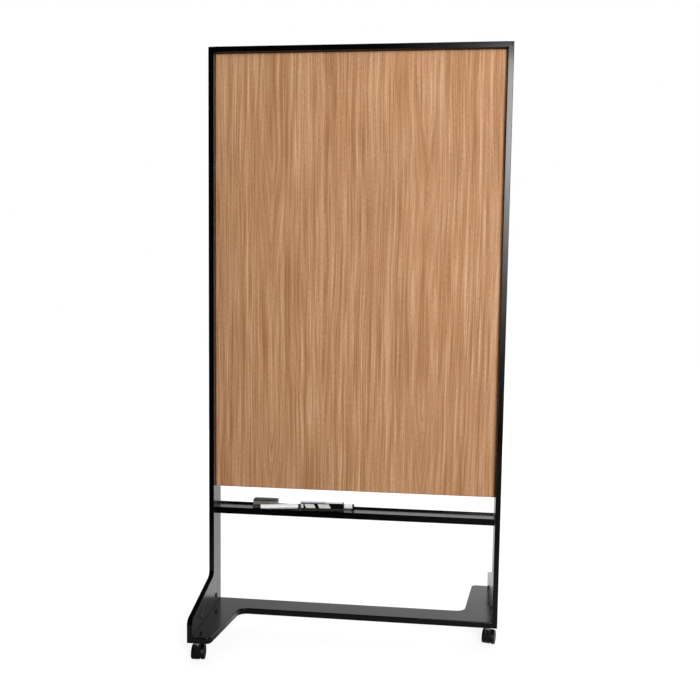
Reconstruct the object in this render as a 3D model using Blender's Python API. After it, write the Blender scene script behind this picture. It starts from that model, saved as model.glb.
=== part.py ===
"""A wooden partition board on casters: a wood-grain panel in a folded steel frame.

Units are metres, +Z is up, the front (wood side) faces -Y and the origin is on the floor
under the middle of the board. The left foot runs to the front and the right foot to the back.
"""

import math

import bmesh
import bpy
from mathutils import Matrix, Vector

# Overall sizes
overall_width = 0.900
overall_height = 1.800
post_depth = 0.080
foot_reach = 0.230
frame_width = 0.016

# Clearances
clearance = 0.0003
running_clearance = 0.00004
overrun = 0.002

# Side frames: folded shell, inner cover and the feet
frame_sheet = 0.0016
frame_bend_radius = 0.0022
frame_top_radius = 0.004
foot_bend_radius = 0.020
foot_top_above_base = 0.120
foot_tip_height = 0.068
seam_offset = -0.0005
seam_gap = 0.0006

# Base plate
caster_height = 0.060
base_flange = 0.018
base_sheet = 0.002
base_bend_radius = 0.0025
lobe_tip_width = 0.068
lobe_root_width = 0.099
lobe_corner_radius = 0.016
lobe_root_radius = 0.030

# Panel
panel_thickness = 0.026
panel_bottom = 0.460
panel_in_rail = 0.008
board_thickness = 0.003
sheet_thickness = 0.001
edge_band_thickness = 0.001
panel_edge_radius = 0.0004

# Pen tray
tray_bottom = 0.380
tray_height = 0.020
tray_lip = 0.008
tray_rear_lip = 0.0055
tray_sheet = 0.0012

# Countersunk bolts through the side frames
bolt_shank_radius = 0.0025
tray_bolt_shank_radius = 0.002
bolt_head_ratio_share = 1.9
bolt_socket_share = 0.55
bolt_tip = 0.001
bolt_beyond_nut = 0.001
weld_nut_height = 0.004
weld_nut_ratio_share = 1.85
weld_nut_weld = 0.0003
panel_bolt_depth = 0.022
panel_bolt_end_distance = 0.180
panel_bolt_offset = 0.0055
rail_bolt_offset = 0.022
tray_bolt_offset = 0.020
base_bolt_offset = 0.022
foot_base_bolt_reach = 0.150

# Button-head bolts on the inner faces of the feet
button_shank_radius = 0.004
button_head_radius = 0.007
button_head_height = 0.0038
button_socket_radius = 0.0026
button_socket_depth = 0.002
button_length = 0.0115
button_height = 0.045
button_near_reach = -0.026
button_far_reach = 0.142

# Casters
stem_inset_side = 0.027
stem_inset_end = 0.015
stem_thread_radius = 0.004
collar_flats = 0.0150
collar_height = 0.008
pin_radius = 0.005
pin_depth = 0.017
wheel_radius = 0.020
wheel_width = 0.0105
wheel_shoulder = 0.0024
wheel_hub_radius = 0.0125
wheel_hub_step = 0.0007
wheel_end_wall = 0.0026
axle_radius = 0.003
caster_trail = 0.018
web_thickness = 0.015
wheel_side_gap = 0.0012
wheel_rim_gap = 0.0012
hood_wall = 0.0025
hood_edge_radius = 0.004
hood_low = 0.014
web_low = 0.007
boss_radius = 0.0095
boss_edge = 0.001
boss_floor = 0.006
boss_top_gap = 0.0005
front_left_turn = math.radians(5)
front_right_turn = math.radians(-13)

# Things in the tray
marker_radius = 0.0077
marker_length = 0.147
marker_cap_length = 0.024
marker_cap_wall = 0.0014
marker_nose_length = 0.008
marker_nib_length = 0.008
marker_nib_radius = 0.0025
marker_tail_length = 0.006
marker_tail_groove = 0.0006
marker_edge = 0.001
marker_front_gap = 0.0045
marker_wall_gap = 0.0018
front_marker_turn = math.radians(12)
marker_cap_travel = 0.030
marker_back_x = -0.1472
short_eraser_x = -0.3205
short_eraser_y = 0.0085
short_eraser_size = (0.078, 0.029, 0.023)
long_eraser_x = -0.1653
long_eraser_y = -0.0145
long_eraser_size = (0.137, 0.0245, 0.0238)
long_eraser_turn = math.radians(4.5)
short_felt_height = 0.0185
long_felt_height = 0.008
eraser_edge_radius = 0.0015
felt_inset = 0.0006
felt_edge_radius = 0.0008

# Facets
arc_step = math.radians(18)
smooth_angle = math.radians(30)
nut_sides = 6
bolt_sides = 10
round_sides = 16
wheel_sides = 28
bevel_steps = 2

# Derived places
half_width = overall_width / 2
half_depth = post_depth / 2
inner_face = half_width - frame_width
between_frames = inner_face - clearance
base_bottom = caster_height
base_top = base_bottom + base_flange
rail_bottom = overall_height - frame_width
panel_top = rail_bottom + panel_in_rail
panel_bolt_heights = (
    panel_bottom + panel_bolt_end_distance,
    (panel_bottom + rail_bottom) / 2,
    rail_bottom - panel_bolt_end_distance,
)
half_panel = panel_thickness / 2
tray_floor = tray_bottom + tray_height - tray_lip
left = -1
right = 1


# Materials
def paint(name, colour, roughness, metallic):
    material = bpy.data.materials.new(name)
    material.use_nodes = True
    shader = material.node_tree.nodes["Principled BSDF"]
    shader.inputs["Base Color"].default_value = (*colour, 1)
    shader.inputs["Roughness"].default_value = roughness
    shader.inputs["Metallic"].default_value = metallic
    material.diffuse_color = (*colour, 1)
    return material


def make_materials():
    return {
        "frame": paint("black_satin_paint", (0.012, 0.012, 0.013), 0.38, 0),
        "board": paint("wood_grain_board", (0.45, 0.25, 0.14), 0.5, 0),
        "core": paint("board_core", (0.5, 0.4, 0.28), 0.8, 0),
        "white": paint("white_writing_steel", (0.82, 0.83, 0.83), 0.18, 0),
        "zinc": paint("zinc_plating", (0.62, 0.63, 0.64), 0.32, 1),
        "bolt": paint("black_bolt", (0.02, 0.02, 0.022), 0.35, 0.6),
        "hood": paint("black_nylon", (0.015, 0.015, 0.016), 0.45, 0),
        "wheel": paint("black_wheel", (0.02, 0.02, 0.021), 0.6, 0),
        "shell": paint("eraser_shell", (0.03, 0.03, 0.035), 0.4, 0),
        "felt": paint("eraser_felt", (0.12, 0.11, 0.09), 0.95, 0),
        "barrel": paint("marker_barrel", (0.85, 0.86, 0.87), 0.3, 0),
        "cap": paint("marker_cap", (0.012, 0.012, 0.014), 0.3, 0),
    }


# Outlines, as corners (u, v, radius) in counterclockwise order
def rounded(corners):
    """The outline through the corners, with each corner of some radius turned into an arc."""
    points = []
    for i, (u, v, radius) in enumerate(corners):
        here = Vector((u, v))
        if radius == 0:
            points.append(here)
            continue
        to_before = (Vector(corners[i - 1][:2]) - here).normalized()
        to_after = (Vector(corners[(i + 1) % len(corners)][:2]) - here).normalized()
        half_angle = to_before.angle(to_after) / 2
        centre = here + (to_before + to_after).normalized() * (radius / math.sin(half_angle))
        start = here + to_before * (radius / math.tan(half_angle)) - centre
        turn = start.angle_signed(here + to_after * (radius / math.tan(half_angle)) - centre)
        steps = max(1, round(abs(turn) / arc_step))
        for step in range(steps + 1):
            points.append(centre + Matrix.Rotation(-turn * step / steps, 2) @ start)
    return points


def inset(corners, distance):
    """The same corners moved inwards by a distance, with their radii following."""
    moved = []
    for i, (u, v, radius) in enumerate(corners):
        here = Vector((u, v))
        edge_in = (here - Vector(corners[i - 1][:2])).normalized()
        edge_out = (Vector(corners[(i + 1) % len(corners)][:2]) - here).normalized()
        normal_in = Vector((-edge_in.y, edge_in.x))
        normal_out = Vector((-edge_out.y, edge_out.x))
        shift = (normal_in + normal_out) * (distance / (1 + normal_in.dot(normal_out)))
        convex = edge_in.cross(edge_out) > 0
        if radius > 0:
            radius = max(radius - distance, 0) if convex else radius + distance
        moved.append((u + shift.x, v + shift.y, radius))
    return moved


# Solids
def on_plane(axis, u, v, along):
    """A point of an outline's plane, at a distance along the axis square to that plane."""
    return {"X": (along, u, v), "Y": (u, along, v), "Z": (u, v, along)}[axis]


def prism(outline, low, high, axis):
    """The outline carried from low to high along an axis."""
    shape = bmesh.new()
    ends = [
        [shape.verts.new(on_plane(axis, u, v, along)) for u, v in outline]
        for along in (low, high)
    ]
    shape.faces.new(ends[0])
    shape.faces.new(ends[1])
    count = len(outline)
    for i in range(count):
        after = (i + 1) % count
        shape.faces.new((ends[0][i], ends[0][after], ends[1][after], ends[1][i]))
    bmesh.ops.recalc_face_normals(shape, faces=shape.faces)
    return shape


def block(lows, highs):
    """A box between two corners."""
    shape = bmesh.new()
    bmesh.ops.create_cube(shape, size=1)
    for vert in shape.verts:
        for i in range(3):
            vert.co[i] = highs[i] if vert.co[i] > 0 else lows[i]
    return shape


def rounded_block(lows, highs, radius):
    """A box with all its edges rounded."""
    shape = block(lows, highs)
    bmesh.ops.bevel(
        shape, geom=shape.edges[:], offset=radius, segments=bevel_steps, profile=0.5, affect="EDGES"
    )
    return shape


def turned(profile, sides, axis):
    """A profile of (radius, along) turned round an axis, closed by a point at each end."""
    shape = bmesh.new()
    rings = []
    for radius, along in profile:
        if radius == 0:
            rings.append([shape.verts.new(on_plane(axis, 0, 0, along))])
            continue
        ring = []
        for side in range(sides):
            angle = math.tau * side / sides
            across = (radius * math.cos(angle), radius * math.sin(angle))
            ring.append(shape.verts.new(on_plane(axis, *across, along)))
        rings.append(ring)
    for first, second in zip(rings, rings[1:]):
        for side in range(sides):
            after = (side + 1) % sides
            corners = [
                first[side % len(first)],
                first[after % len(first)],
                second[after % len(second)],
                second[side % len(second)],
            ]
            shape.faces.new(list(dict.fromkeys(corners)))
    bmesh.ops.recalc_face_normals(shape, faces=shape.faces)
    return shape


def rod(radius, low, high, sides, axis):
    """A round bar from low to high along an axis."""
    return turned([(0, low), (radius, low), (radius, high), (0, high)], sides, axis)


def bore_round(shaft_radius, sides):
    """The corner radius of a many-sided bore whose flats just clear a turning shaft."""
    return (shaft_radius + running_clearance) / math.cos(math.pi / sides)


def moved(shape, offset):
    bmesh.ops.translate(shape, verts=shape.verts, vec=offset)
    return shape


def round_edges_at(shape, axis, place, radius):
    """Round the edges that lie in one plane square to an axis, as a bend does."""
    index = "XYZ".index(axis)
    flat = [
        edge
        for edge in shape.edges
        if all(abs(vert.co[index] - place) < clearance for vert in edge.verts)
    ]
    bmesh.ops.bevel(
        shape, geom=flat, offset=radius, segments=bevel_steps, profile=0.5, affect="EDGES"
    )
    return shape


def to_mesh(shape, name):
    mesh = bpy.data.meshes.new(name)
    shape.to_mesh(mesh)
    shape.free()
    return mesh


def combined(name, first, steps):
    """The first shape with others joined to it or cut from it, in order, as one mesh."""
    result = bpy.data.objects.new(name, to_mesh(first, name))
    bpy.context.scene.collection.objects.link(result)
    helpers = []
    for operation, shape in steps:
        helper = bpy.data.objects.new("helper", to_mesh(shape, "helper"))
        bpy.context.scene.collection.objects.link(helper)
        helper.hide_render = True
        helper.display_type = "WIRE"
        modifier = result.modifiers.new("step", "BOOLEAN")
        modifier.operation = operation
        modifier.solver = "EXACT"
        modifier.object = helper
        helpers.append(helper)
    bpy.context.view_layer.update()
    evaluated = result.evaluated_get(bpy.context.evaluated_depsgraph_get())
    mesh = bpy.data.meshes.new_from_object(evaluated)
    mesh.name = name
    for unused in [result, *helpers]:
        bpy.data.objects.remove(unused)
    return mesh


def add_piece(name, mesh, material, location=(0, 0, 0), turn=0, parent=None):
    """One named piece, from a mesh that other pieces may share."""
    if not mesh.materials:
        mesh.materials.append(material)
    piece = bpy.data.objects.new(name, mesh)
    piece.location = location
    piece.rotation_euler.z = turn
    piece.parent = parent
    mesh.shade_smooth()
    mesh.set_sharp_from_angle(angle=smooth_angle)
    bpy.context.scene.collection.objects.link(piece)
    return piece


# Bolts and nuts
def hole(radius, place, low, high, sides=bolt_sides):
    """A cutter along X through a sheet, at (y, z)."""
    return moved(rod(radius, low, high, sides, "X"), (0, *place))


def countersink(radius, place):
    """The cutter of a countersunk hole in the left frame's outer sheet, at (y, z)."""
    head = radius * bolt_head_ratio_share
    outside = -half_width
    depth = head - radius
    profile = [
        (0, outside - overrun),
        (head + clearance + overrun, outside - overrun),
        (radius + clearance, outside + depth + clearance),
        (radius + clearance, outside + depth + overrun),
        (0, outside + depth + overrun),
    ]
    return moved(turned(profile, bolt_sides, "X"), (0, *place))


def countersunk_bolt(radius, length):
    """A flush bolt with a round socket, its head in the plane X = 0 and its tip at +X."""
    head = radius * bolt_head_ratio_share
    socket = radius * bolt_socket_share
    profile = [
        (0, socket),
        (socket, socket),
        (socket, 0),
        (head, 0),
        (radius, head - radius),
        (radius, length - bolt_tip),
        (radius - bolt_tip, length),
        (0, length),
    ]
    return to_mesh(turned(profile, bolt_sides, "X"), "countersunk_bolt")


def button_bolt():
    """A button-head bolt, its head's underside in the plane X = 0 and its shank at -X."""
    rim = button_head_height / 3
    profile = [
        (0, button_head_height - button_socket_depth),
        (button_socket_radius, button_head_height - button_socket_depth),
        (button_socket_radius, button_head_height),
        ((button_socket_radius + button_head_radius) / 2, button_head_height - rim / 2),
        (button_head_radius, rim),
        (button_head_radius, 0),
        (button_shank_radius, 0),
        (button_shank_radius, -button_length),
        (0, -button_length),
    ]
    return to_mesh(turned(profile, round_sides, "X"), "button_bolt")


def weld_nut(radius, place, low, high):
    """A hexagonal nut along X at (y, z), without its hole."""
    return moved(rod(radius * weld_nut_ratio_share, low, high, nut_sides, "X"), (0, *place))


# Side frames, made for the left and turned half round for the right
def side_corners():
    """The side view of the left frame, in (y, z): an upright and a foot to the front."""
    toe = -half_depth - foot_reach
    return [
        (toe, base_bottom, 0),
        (half_depth, base_bottom, 0),
        (half_depth, overall_height, frame_top_radius),
        (-half_depth, overall_height, frame_top_radius),
        (-half_depth, base_bottom + foot_top_above_base, foot_bend_radius),
        (toe, base_bottom + foot_tip_height, foot_bend_radius),
    ]


def frame_bolts():
    """Each countersunk bolt of the left frame: name, (y, z), shank radius and length."""
    through = frame_width + clearance + weld_nut_height + bolt_beyond_nut
    base_height = base_bottom + base_flange / 2
    tray_tab_middle = (tray_bottom + tray_floor - tray_sheet) / 2
    rail_place = (rail_bolt_offset, rail_bottom + frame_width / 2)
    bolts = [
        ("rail_bolt", rail_place, bolt_shank_radius, through + frame_sheet),
        (
            "tray_bolt",
            (tray_bolt_offset, tray_tab_middle),
            tray_bolt_shank_radius,
            through + tray_sheet,
        ),
        ("base_bolt", (base_bolt_offset, base_height), bolt_shank_radius, through + base_sheet),
        (
            "foot_bolt",
            (-half_depth - foot_base_bolt_reach, base_height),
            bolt_shank_radius,
            through + base_sheet,
        ),
    ]
    for number, height in enumerate(panel_bolt_heights, 1):
        place = (panel_bolt_offset, height)
        bolts.append(
            (f"panel_bolt_{number}", place, bolt_shank_radius, frame_width + panel_bolt_depth)
        )
    return bolts


def button_places():
    """The two button-head bolts on the inner face of a foot, in (y, z)."""
    height = base_bottom + button_height
    return [
        (-half_depth - reach, height) for reach in (button_near_reach, button_far_reach)
    ]


def inner_sheet_holes(shell_side):
    """Cutters for the bolt holes of the inner sheet that lies on one side of the seam."""
    low = -inner_face - frame_sheet - overrun
    high = -inner_face + overrun
    cutters = []
    for _, place, radius, _ in frame_bolts():
        if (place[0] > seam_offset) == shell_side:
            cutters.append(("DIFFERENCE", hole(radius + clearance, place, low, high)))
    if not shell_side:
        for place in button_places():
            radius = button_shank_radius + clearance
            cutters.append(("DIFFERENCE", hole(radius, place, low, high, round_sides)))
    return cutters


def side_shell_mesh():
    """A folded shell: outer sheet, flanges all round and the back half of the inner sheet."""
    outer = prism(rounded(side_corners()), -half_width, -inner_face, "X")
    round_edges_at(outer, "X", -half_width, frame_bend_radius)
    hollow = rounded(inset(side_corners(), frame_sheet))
    web = -half_width + frame_sheet
    steps = [("DIFFERENCE", prism(hollow, web, -inner_face - frame_sheet, "X"))]
    opening = [
        (min(u, seam_offset), v, radius) for u, v, radius in inset(side_corners(), frame_sheet)
    ]
    mouth = prism(
        rounded(opening), -inner_face - frame_sheet - overrun, -inner_face + overrun, "X"
    )
    steps.append(("DIFFERENCE", mouth))
    for place in button_places():
        radius = button_shank_radius
        nut = weld_nut(radius, place, web - weld_nut_weld, web + weld_nut_height)
        steps.append(("UNION", nut))
        bore = hole(radius + clearance, place, web + weld_nut_weld, web + weld_nut_height + overrun)
        steps.append(("DIFFERENCE", bore))
    for _, place, radius, _ in frame_bolts():
        steps.append(("DIFFERENCE", countersink(radius, place)))
    return combined("side_shell", outer, steps + inner_sheet_holes(True))


def inner_cover_mesh():
    """The front half of the inner sheet, which also closes the inner side of the foot."""
    corners = [
        (min(u, seam_offset - seam_gap), v, radius)
        for u, v, radius in inset(side_corners(), frame_sheet + clearance)
    ]
    sheet = prism(rounded(corners), -inner_face - frame_sheet, -inner_face, "X")
    return combined("inner_cover", sheet, inner_sheet_holes(False))


def add_side_frames(materials):
    shell = side_shell_mesh()
    cover = inner_cover_mesh()
    button = button_bolt()
    bolts = [
        (name, place, countersunk_bolt(radius, length))
        for name, place, radius, length in frame_bolts()
    ]
    for side, turn in (("left", 0), ("right", math.pi)):
        facing = Matrix.Rotation(turn, 3, "Z")
        add_piece(f"{side}_side_shell", shell, materials["frame"], turn=turn)
        add_piece(f"{side}_inner_cover", cover, materials["frame"], turn=turn)
        for name, place, mesh in bolts:
            spot = facing @ Vector((-half_width, *place))
            add_piece(f"{side}_{name}", mesh, materials["bolt"], spot, turn)
        for number, place in enumerate(button_places(), 1):
            spot = facing @ Vector((-inner_face + clearance, *place))
            add_piece(f"{side}_button_bolt_{number}", button, materials["bolt"], spot, turn)


def end_fixings(sheet, wanted):
    """Weld nuts inside both ends of a cross piece, with a hole through each end."""
    joined = []
    cut = []
    for name, place, radius, _ in frame_bolts():
        if name not in wanted:
            continue
        for side in (left, right):
            y, z = place[0] * -side, place[1]
            end = side * between_frames
            inside = end - side * (sheet + weld_nut_height)
            seat = end - side * (sheet - weld_nut_weld)
            low, high = sorted((inside, seat))
            joined.append(("UNION", weld_nut(radius, (y, z), low, high)))
            low, high = sorted((inside - side * overrun, end + side * overrun))
            cut.append(("DIFFERENCE", hole(radius + clearance, (y, z), low, high)))
    return joined + cut


# Top rail
def add_top_rail(materials):
    """A folded channel with closed ends and a slot below for the panel's top edge."""
    corners = [
        (-half_depth, rail_bottom, 0),
        (half_depth, rail_bottom, 0),
        (half_depth, overall_height, frame_bend_radius),
        (-half_depth, overall_height, frame_bend_radius),
    ]
    outer = prism(rounded(corners), -between_frames, between_frames, "X")
    end = between_frames - frame_sheet
    hollow = prism(rounded(inset(corners, frame_sheet)), -end, end, "X")
    slot_half = half_panel + clearance
    slot_end = between_frames + overrun
    slot = block(
        (-slot_end, -slot_half, rail_bottom - overrun),
        (slot_end, slot_half, panel_top + clearance),
    )
    steps = [("DIFFERENCE", hollow), ("DIFFERENCE", slot)]
    mesh = combined("top_rail", outer, steps + end_fixings(frame_sheet, ("rail_bolt",)))
    add_piece("top_rail", mesh, materials["frame"])


# Base plate
def base_corners():
    """The base plate from above: a bar with a lobe to the front left and to the back right."""
    tip = half_width - lobe_tip_width
    root = half_width - lobe_root_width
    toe = half_depth + foot_reach
    half = [
        (-between_frames, -toe, 0),
        (-tip, -toe, lobe_corner_radius),
        (-root, -half_depth, lobe_root_radius),
        (between_frames, -half_depth, 0),
    ]
    return half + [(-x, -y, radius) for x, y, radius in half]


def stem_places():
    """The four casters: name, (x, y) of the stem and the turn of the caster."""
    x = half_width - stem_inset_side
    near = half_depth - stem_inset_end
    far = half_depth + foot_reach - stem_inset_end
    return [
        ("front_left", (-x, -far), front_left_turn),
        ("front_right", (x, -near), front_right_turn),
        ("rear_left", (-x, near), front_right_turn + math.pi),
        ("rear_right", (x, far), front_left_turn + math.pi),
    ]


def add_base_plate(materials):
    """A folded pan, open below, with a long weld nut down to its edge for each caster."""
    outer = prism(rounded(base_corners()), base_bottom, base_top, "Z")
    round_edges_at(outer, "Z", base_top, base_bend_radius)
    ceiling = base_top - base_sheet
    hollow = prism(
        rounded(inset(base_corners(), base_sheet)), base_bottom - overrun, ceiling, "Z"
    )
    steps = [("DIFFERENCE", hollow)]
    bores = []
    for _, (x, y), _ in stem_places():
        radius = stem_thread_radius
        nut_radius = radius * weld_nut_ratio_share
        nut = rod(nut_radius, base_bottom, ceiling + weld_nut_weld, nut_sides, "Z")
        steps.append(("UNION", moved(nut, (x, y, 0))))
        bore_low = base_bottom - overrun
        bore = rod(radius + clearance, bore_low, ceiling - clearance, round_sides, "Z")
        bores.append(("DIFFERENCE", moved(bore, (x, y, 0))))
    fixings = end_fixings(base_sheet, ("base_bolt", "foot_bolt"))
    mesh = combined("base_plate", outer, steps + bores + fixings)
    add_piece("base_plate", mesh, materials["frame"])


# Panel
def add_panel(materials):
    """Front board, core, white steel sheet at the back and a band along the bottom edge."""
    edge = between_frames
    layers_bottom = panel_bottom + edge_band_thickness + clearance
    board_back = -half_panel + board_thickness
    sheet_front = half_panel - sheet_thickness
    board = rounded_block(
        (-edge, -half_panel, layers_bottom), (edge, board_back, panel_top), panel_edge_radius
    )
    add_piece("wood_board", to_mesh(board, "wood_board"), materials["board"])
    core = block(
        (-edge, board_back + clearance, layers_bottom), (edge, sheet_front - clearance, panel_top)
    )
    cutters = []
    for name, (y, z), radius, _ in frame_bolts():
        if not name.startswith("panel"):
            continue
        for side in (left, right):
            deep = side * (edge - panel_bolt_depth - overrun)
            low, high = sorted((deep, side * (edge + overrun)))
            cutters.append(("DIFFERENCE", hole(radius + clearance, (y * -side, z), low, high)))
    add_piece("panel_core", combined("panel_core", core, cutters), materials["core"])
    sheet = rounded_block(
        (-edge, sheet_front, layers_bottom), (edge, half_panel, panel_top), panel_edge_radius
    )
    add_piece("white_writing_sheet", to_mesh(sheet, "white_writing_sheet"), materials["white"])
    band = rounded_block(
        (-edge, -half_panel, panel_bottom),
        (edge, half_panel, panel_bottom + edge_band_thickness),
        panel_edge_radius,
    )
    add_piece("bottom_edge_band", to_mesh(band, "bottom_edge_band"), materials["board"])


# Pen tray
def add_pen_tray(materials):
    """Two upright lips joined by a floor, with a tab at each end for the bolts."""
    wall = half_depth - tray_sheet
    front = tray_bottom + tray_height
    rear = tray_floor + tray_rear_lip
    under = tray_floor - tray_sheet
    section = [
        (-half_depth, tray_bottom),
        (-wall, tray_bottom),
        (-wall, under),
        (wall, under),
        (wall, tray_bottom),
        (half_depth, tray_bottom),
        (half_depth, rear),
        (wall, rear),
        (wall, tray_floor),
        (-wall, tray_floor),
        (-wall, front),
        (-half_depth, front),
    ]
    body = prism(section, -between_frames, between_frames, "X")
    steps = []
    lap = tray_sheet / 2
    for side in (left, right):
        low, high = sorted((side * between_frames, side * (between_frames - tray_sheet)))
        tab = block((low, -wall - lap, tray_bottom), (high, wall + lap, under + lap))
        steps.append(("UNION", tab))
    mesh = combined("pen_tray", body, steps + end_fixings(tray_sheet, ("tray_bolt",)))
    add_piece("pen_tray", mesh, materials["frame"])


# Casters, each made with its stem's axis at the origin and its wheels behind it
def stem_mesh():
    """A threaded stem with a hexagonal collar and a plain pin below it."""
    collar_high = caster_height - clearance
    collar_low = collar_high - collar_height
    thread_top = base_top - base_sheet - bolt_beyond_nut
    collar_radius = collar_flats / math.sqrt(3)
    pin = turned(
        [
            (0, collar_low - pin_depth),
            (pin_radius - bolt_tip, collar_low - pin_depth),
            (pin_radius, collar_low - pin_depth + bolt_tip),
            (pin_radius, collar_low + collar_height / 2),
            (stem_thread_radius, collar_low + collar_height / 2),
            (stem_thread_radius, thread_top - bolt_tip),
            (stem_thread_radius - bolt_tip, thread_top),
            (0, thread_top),
        ],
        round_sides,
        "Z",
    )
    collar = rod(collar_radius, collar_low, collar_high, nut_sides, "Z")
    return combined("stem", pin, [("UNION", collar)]), collar_low


def hood_outline(radius, low):
    """The side view of a dome over the wheels, in (y, z), cut off level below."""
    reach = math.asin((low - wheel_radius) / radius)
    steps = round((math.pi - 2 * reach) / arc_step)
    points = []
    for step in range(steps + 1):
        angle = reach + (math.pi - 2 * reach) * step / steps
        points.append(
            (caster_trail + radius * math.cos(angle), wheel_radius + radius * math.sin(angle))
        )
    return points


def hood_mesh(collar_low):
    """A dome over both wheels, a web between them and a boss round the stem's pin."""
    outer_radius = wheel_radius + wheel_rim_gap + hood_wall
    half_span = web_thickness / 2 + wheel_side_gap + wheel_width
    dome = prism(hood_outline(outer_radius, hood_low), -half_span, half_span, "X")
    for end in (-half_span, half_span):
        round_edges_at(dome, "X", end, hood_edge_radius)
    half_web = web_thickness / 2
    web = prism(hood_outline(outer_radius - clearance, web_low), -half_web, half_web, "X")
    boss_top = collar_low - boss_top_gap
    boss_low = collar_low - pin_depth - boss_floor
    boss = turned(
        [
            (0, boss_low),
            (boss_radius - boss_edge, boss_low),
            (boss_radius, boss_low + boss_edge),
            (boss_radius, boss_top - boss_edge),
            (boss_radius - boss_edge, boss_top),
            (0, boss_top),
        ],
        round_sides,
        "Z",
    )
    steps = [("UNION", web), ("UNION", boss)]
    for side in (left, right):
        low, high = sorted((side * half_web, side * (half_span + overrun)))
        pocket = rod(wheel_radius + wheel_rim_gap, low, high, wheel_sides, "X")
        steps.append(("DIFFERENCE", moved(pocket, (0, caster_trail, wheel_radius))))
    socket_low = collar_low - pin_depth - clearance
    socket_radius = bore_round(pin_radius, round_sides)
    socket = rod(socket_radius, socket_low, boss_top + overrun, round_sides, "Z")
    steps.append(("DIFFERENCE", socket))
    bore_end = half_span + overrun
    bore = rod(axle_radius + clearance, -bore_end, bore_end, bolt_sides, "X")
    steps.append(("DIFFERENCE", moved(bore, (0, caster_trail, wheel_radius))))
    return combined("hood", dome, steps)


def wheel_mesh():
    """A wheel with a blind bore at -X and a sunk hub face at +X, centred on its width."""
    half = wheel_width / 2
    bore = bore_round(axle_radius, wheel_sides)
    profile = [
        (0, half - wheel_end_wall),
        (bore, half - wheel_end_wall),
        (bore, -half),
        (wheel_radius, -half),
        (wheel_radius, half - wheel_shoulder),
        (wheel_radius - wheel_shoulder, half),
        (wheel_hub_radius, half),
        (wheel_hub_radius, half - wheel_hub_step),
        (0, half - wheel_hub_step),
    ]
    return to_mesh(turned(profile, wheel_sides, "X"), "wheel")


def add_casters(materials):
    stem, collar_low = stem_mesh()
    hood = hood_mesh(collar_low)
    wheel = wheel_mesh()
    centre_out = web_thickness / 2 + wheel_side_gap + wheel_width / 2
    axle_half = centre_out + wheel_width / 2 - wheel_end_wall - clearance
    axle = to_mesh(rod(axle_radius, -axle_half, axle_half, bolt_sides, "X"), "axle")
    for name, (x, y), turn in stem_places():
        add_piece(f"{name}_stem", stem, materials["zinc"], (x, y, 0))
        body = add_piece(f"{name}_hood", hood, materials["hood"], (x, y, 0), turn)
        axle_place = (0, caster_trail, wheel_radius)
        add_piece(f"{name}_axle", axle, materials["zinc"], axle_place, parent=body)
        for side, label, half_turn in ((left, "a", math.pi), (right, "b", 0)):
            place = (side * centre_out, caster_trail, wheel_radius)
            add_piece(
                f"{name}_wheel_{label}", wheel, materials["wheel"], place, half_turn, parent=body
            )


# Erasers and markers in the tray
def add_eraser(name, place, size, felt_height, materials, turn=0):
    """A moulded shell over a felt pad, with place its front left corner on the tray floor."""
    length, depth, height = size
    spot = (*place, tray_floor + clearance)
    pad = rounded_block(
        (felt_inset, felt_inset, 0),
        (length - felt_inset, depth - felt_inset, felt_height),
        felt_edge_radius,
    )
    shell = rounded_block(
        (0, 0, felt_height + clearance), (length, depth, height), eraser_edge_radius
    )
    add_piece(f"{name}_felt", to_mesh(pad, "felt"), materials["felt"], spot, turn)
    add_piece(f"{name}_shell", to_mesh(shell, "shell"), materials["shell"], spot, turn)


def marker_meshes():
    """A cap and a barrel along X, both with X = 0 at the closed end of the cap."""
    bore = marker_radius - marker_cap_wall
    cap = turned(
        [
            (0, 0),
            (marker_radius - marker_edge, 0),
            (marker_radius, marker_edge),
            (marker_radius, marker_cap_length),
            (bore, marker_cap_length),
            (bore, marker_cap_wall),
            (0, marker_cap_wall),
        ],
        round_sides,
        "X",
    )
    nose = bore - clearance
    start = marker_cap_length + clearance
    nose_end = start - marker_nose_length
    tail = marker_length - marker_tail_length
    groove = marker_radius - marker_tail_groove
    barrel = turned(
        [
            (0, nose_end - marker_nib_length),
            (marker_nib_radius, nose_end - marker_nib_length + marker_nib_radius),
            (marker_nib_radius, nose_end),
            (nose - marker_edge, nose_end),
            (nose, nose_end + marker_edge),
            (nose, start),
            (marker_radius, start),
            (marker_radius, tail - marker_tail_groove * 2),
            (groove, tail - marker_tail_groove),
            (marker_radius, tail),
            (marker_radius, marker_length - marker_edge),
            (marker_radius - marker_edge, marker_length),
            (0, marker_length),
        ],
        round_sides,
        "X",
    )
    return to_mesh(cap, "marker_cap"), to_mesh(barrel, "marker_barrel")


def add_tray_contents(materials):
    add_eraser(
        "short_eraser",
        (short_eraser_x, short_eraser_y),
        short_eraser_size,
        short_felt_height,
        materials,
    )
    add_eraser(
        "long_eraser",
        (long_eraser_x, long_eraser_y),
        long_eraser_size,
        long_felt_height,
        materials,
        long_eraser_turn,
    )
    cap, barrel = marker_meshes()
    height = tray_floor + clearance + marker_radius
    reach = half_depth - tray_sheet - marker_radius - marker_wall_gap
    front_x = long_eraser_x - marker_front_gap - marker_length * math.cos(front_marker_turn)
    front_y = marker_cap_travel * math.sin(front_marker_turn) - reach
    for name, x, y, turn in (
        ("front_marker", front_x, front_y, front_marker_turn),
        ("back_marker", marker_back_x, reach, 0),
    ):
        add_piece(f"{name}_barrel", barrel, materials["barrel"], (x, y, height), turn)
        add_piece(f"{name}_cap", cap, materials["cap"], (x, y, height), turn)


def main():
    for unused in list(bpy.data.objects):
        bpy.data.objects.remove(unused)
    materials = make_materials()
    add_side_frames(materials)
    add_top_rail(materials)
    add_base_plate(materials)
    add_panel(materials)
    add_pen_tray(materials)
    add_casters(materials)
    add_tray_contents(materials)


main()
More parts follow.
